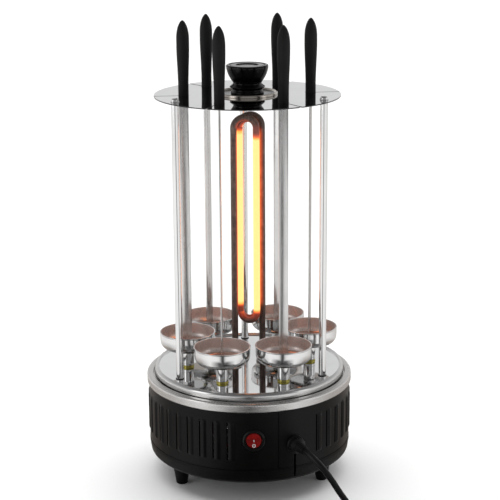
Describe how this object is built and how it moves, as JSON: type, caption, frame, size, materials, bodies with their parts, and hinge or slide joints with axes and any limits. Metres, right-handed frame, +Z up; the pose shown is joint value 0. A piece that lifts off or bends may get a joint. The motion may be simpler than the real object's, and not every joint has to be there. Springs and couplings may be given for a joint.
{
  "type": "electric kebab grill",
  "caption": "Upright electric rotisserie grill: round geared base, bent tube heater and turning skewers in drip cups under a mirror top disc with a lifting knob.",
  "frame": {"origin": "on the resting surface, under the centre of the round base", "axes": "+Z up along the grill's axis; the front with its switch faces -Y, and the cord leaves at the front right"},
  "size_m": [0.2821, 0.4135, 0.5328],
  "materials": {
    "black_moulding": "fine satin moulding texture",
    "black_wall": "semi-gloss black enamel",
    "brushed_steel": "circular brushed",
    "mirror_steel": "mirror polished",
    "polished_steel": "polished, slightly worn",
    "dark_ring": "dark oxidised",
    "bakelite": "glossy moulded phenolic",
    "heater_sheath": "heat-tinted oxidised tube, glowing along its bars",
    "ceramic": "unglazed ceramic",
    "brass": "turned brass",
    "galvanised": "galvanised sheet",
    "nylon": "natural moulded nylon",
    "blade_steel": "ground flat steel",
    "handle_black": "matte moulded",
    "rocker_red": "translucent gloss red",
    "switch_black": "satin gloss",
    "cord_black": "matte rubber sheath",
    "wire_red": "silicone sleeving",
    "screw_steel": "zinc plated"
  },
  "bodies": {
    "base": {"base_tray": "black_moulding", "side_wall": "black_wall", "collar_band": "brushed_steel", "top_plate": "mirror_steel", "gear_chassis": "galvanised", "feet": "black_moulding", "support_rods": "polished_steel", "rod_rings": "dark_ring", "dome_nuts": "polished_steel", "tie_nuts": "screw_steel", "top_disc": "mirror_steel", "knob_skirt": "polished_steel", "knob": "bakelite", "heating_element": "heater_sheath", "heater_bushes": "ceramic", "spindle_bushes": "brass", "drive_motor": "galvanised", "fixing_screws": "screw_steel", "thermal_cutout": "screw_steel", "terminal_block": "ceramic", "wiring": "wire_red", "switch_body": "switch_black", "cord_gland": "cord_black", "power_cord": "cord_black", "cord_coil": "cord_black", "cord_tie": "black_moulding", "plug": "cord_black"},
    "central_gear": {"central_gear": "nylon"},
    "motor_pinion": {"motor_pinion": "brass"},
    "rocker": {"rocker": "rocker_red"},
    "spindle_1": {"spindle_1": "polished_steel", "spindle_gear_1": "nylon", "drip_cup_1": "polished_steel"},
    "skewer_1": {"skewer_blade_1": "blade_steel", "skewer_handle_1": "handle_black"},
    "spindle_2": {"spindle_2": "polished_steel", "spindle_gear_2": "nylon", "drip_cup_2": "polished_steel"},
    "skewer_2": {"skewer_blade_2": "blade_steel", "skewer_handle_2": "handle_black"},
    "spindle_3": {"spindle_3": "polished_steel", "spindle_gear_3": "nylon", "drip_cup_3": "polished_steel"},
    "skewer_3": {"skewer_blade_3": "blade_steel", "skewer_handle_3": "handle_black"},
    "spindle_4": {"spindle_4": "polished_steel", "spindle_gear_4": "nylon", "drip_cup_4": "polished_steel"},
    "skewer_4": {"skewer_blade_4": "blade_steel", "skewer_handle_4": "handle_black"},
    "spindle_5": {"spindle_5": "polished_steel", "spindle_gear_5": "nylon", "drip_cup_5": "polished_steel"},
    "skewer_5": {"skewer_blade_5": "blade_steel", "skewer_handle_5": "handle_black"},
    "spindle_6": {"spindle_6": "polished_steel", "spindle_gear_6": "nylon", "drip_cup_6": "polished_steel"},
    "skewer_6": {"skewer_blade_6": "blade_steel", "skewer_handle_6": "handle_black"}
  },
  "joints": [
    {"name": "central_gear_turn", "type": "hinge", "parent": "base", "child": "central_gear", "pos_m": [0, 0, 0.101], "axis": [0, 0, 1], "continuous": true},
    {"name": "motor_pinion_turn", "type": "hinge", "parent": "base", "child": "motor_pinion", "pos_m": [0.05223, 0.03523, 0.101], "axis": [0, 0, 1], "continuous": true},
    {"name": "spindle_1_turn", "type": "hinge", "parent": "base", "child": "spindle_1", "pos_m": [0.07146, 0.00877, 0.101], "axis": [0, 0, 1], "continuous": true},
    {"name": "skewer_1_lift", "type": "slide", "parent": "spindle_1", "child": "skewer_1", "axis": [0, 0, 1], "range_m": [0, 0.33]},
    {"name": "spindle_2_turn", "type": "hinge", "parent": "base", "child": "spindle_2", "pos_m": [0.03491, 0.06297, 0.101], "axis": [0, 0, 1], "continuous": true},
    {"name": "skewer_2_lift", "type": "slide", "parent": "spindle_2", "child": "skewer_2", "axis": [0, 0, 1], "range_m": [0, 0.33]},
    {"name": "spindle_3_turn", "type": "hinge", "parent": "base", "child": "spindle_3", "pos_m": [-0.04724, 0.05434, 0.101], "axis": [0, 0, 1], "continuous": true},
    {"name": "skewer_3_lift", "type": "slide", "parent": "spindle_3", "child": "skewer_3", "axis": [0, 0, 1], "range_m": [0, 0.33]},
    {"name": "spindle_4_turn", "type": "hinge", "parent": "base", "child": "spindle_4", "pos_m": [-0.07146, -0.00877, 0.101], "axis": [0, 0, 1], "continuous": true},
    {"name": "skewer_4_lift", "type": "slide", "parent": "spindle_4", "child": "skewer_4", "axis": [0, 0, 1], "range_m": [0, 0.33]},
    {"name": "spindle_5_turn", "type": "hinge", "parent": "base", "child": "spindle_5", "pos_m": [-0.03043, -0.06525, 0.101], "axis": [0, 0, 1], "continuous": true},
    {"name": "skewer_5_lift", "type": "slide", "parent": "spindle_5", "child": "skewer_5", "axis": [0, 0, 1], "range_m": [0, 0.33]},
    {"name": "spindle_6_turn", "type": "hinge", "parent": "base", "child": "spindle_6", "pos_m": [0.03921, -0.06038, 0.101], "axis": [0, 0, 1], "continuous": true},
    {"name": "skewer_6_lift", "type": "slide", "parent": "spindle_6", "child": "skewer_6", "axis": [0, 0, 1], "range_m": [0, 0.33]},
    {"name": "rocker_tilt", "type": "hinge", "parent": "base", "child": "rocker", "pos_m": [0.00469, -0.11671, 0.079], "axis": [0.9992, 0.0401, 0], "range_deg": [0, 18]}
  ],
  "couplings": [
    {"joint": "motor_pinion_turn", "follows": "central_gear_turn", "ratio": -6},
    {"joint": "spindle_1_turn", "follows": "central_gear_turn", "ratio": -3},
    {"joint": "spindle_2_turn", "follows": "central_gear_turn", "ratio": -3},
    {"joint": "spindle_3_turn", "follows": "central_gear_turn", "ratio": -3},
    {"joint": "spindle_4_turn", "follows": "central_gear_turn", "ratio": -3},
    {"joint": "spindle_5_turn", "follows": "central_gear_turn", "ratio": -3},
    {"joint": "spindle_6_turn", "follows": "central_gear_turn", "ratio": -3}
  ]
}
